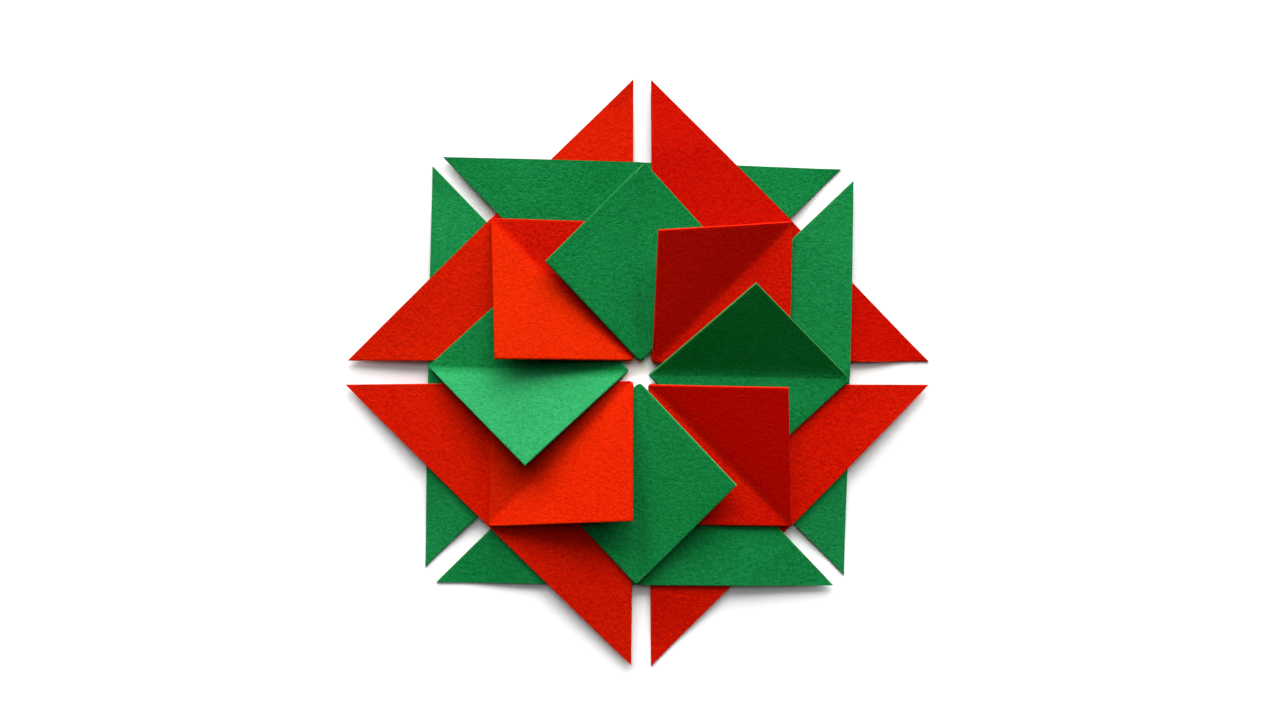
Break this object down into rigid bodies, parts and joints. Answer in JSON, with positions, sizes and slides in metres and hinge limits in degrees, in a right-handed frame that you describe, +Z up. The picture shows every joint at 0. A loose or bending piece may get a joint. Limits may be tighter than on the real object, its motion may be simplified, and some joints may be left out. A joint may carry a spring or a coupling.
{
  "type": "origami mandala",
  "caption": "Flat star-shaped origami mandala of interlocked folded paper sheets in red and green, with raised square flaps round a small central opening.",
  "frame": {"origin": "centre of the star's outline, on the surface that it rests on", "axes": "+Z up out of the front of the mandala, +Y towards the top of the picture (between the two upper red tips), +X to its right"},
  "size_m": [0.1466, 0.1476, 0.0137],
  "materials": {
    "red_paper": "matt craft paper dyed orange-red through, fine fibre grain",
    "green_paper": "matt craft paper dyed green through, fine fibre grain"
  },
  "bodies": {
    "root": {"green_unit_north": "green_paper", "red_unit_northeast": "red_paper", "green_unit_east": "green_paper", "red_unit_southeast": "red_paper", "green_unit_south": "green_paper", "red_unit_southwest": "red_paper", "green_unit_west": "green_paper", "red_unit_northwest": "red_paper"}
  },
  "joints": []
}
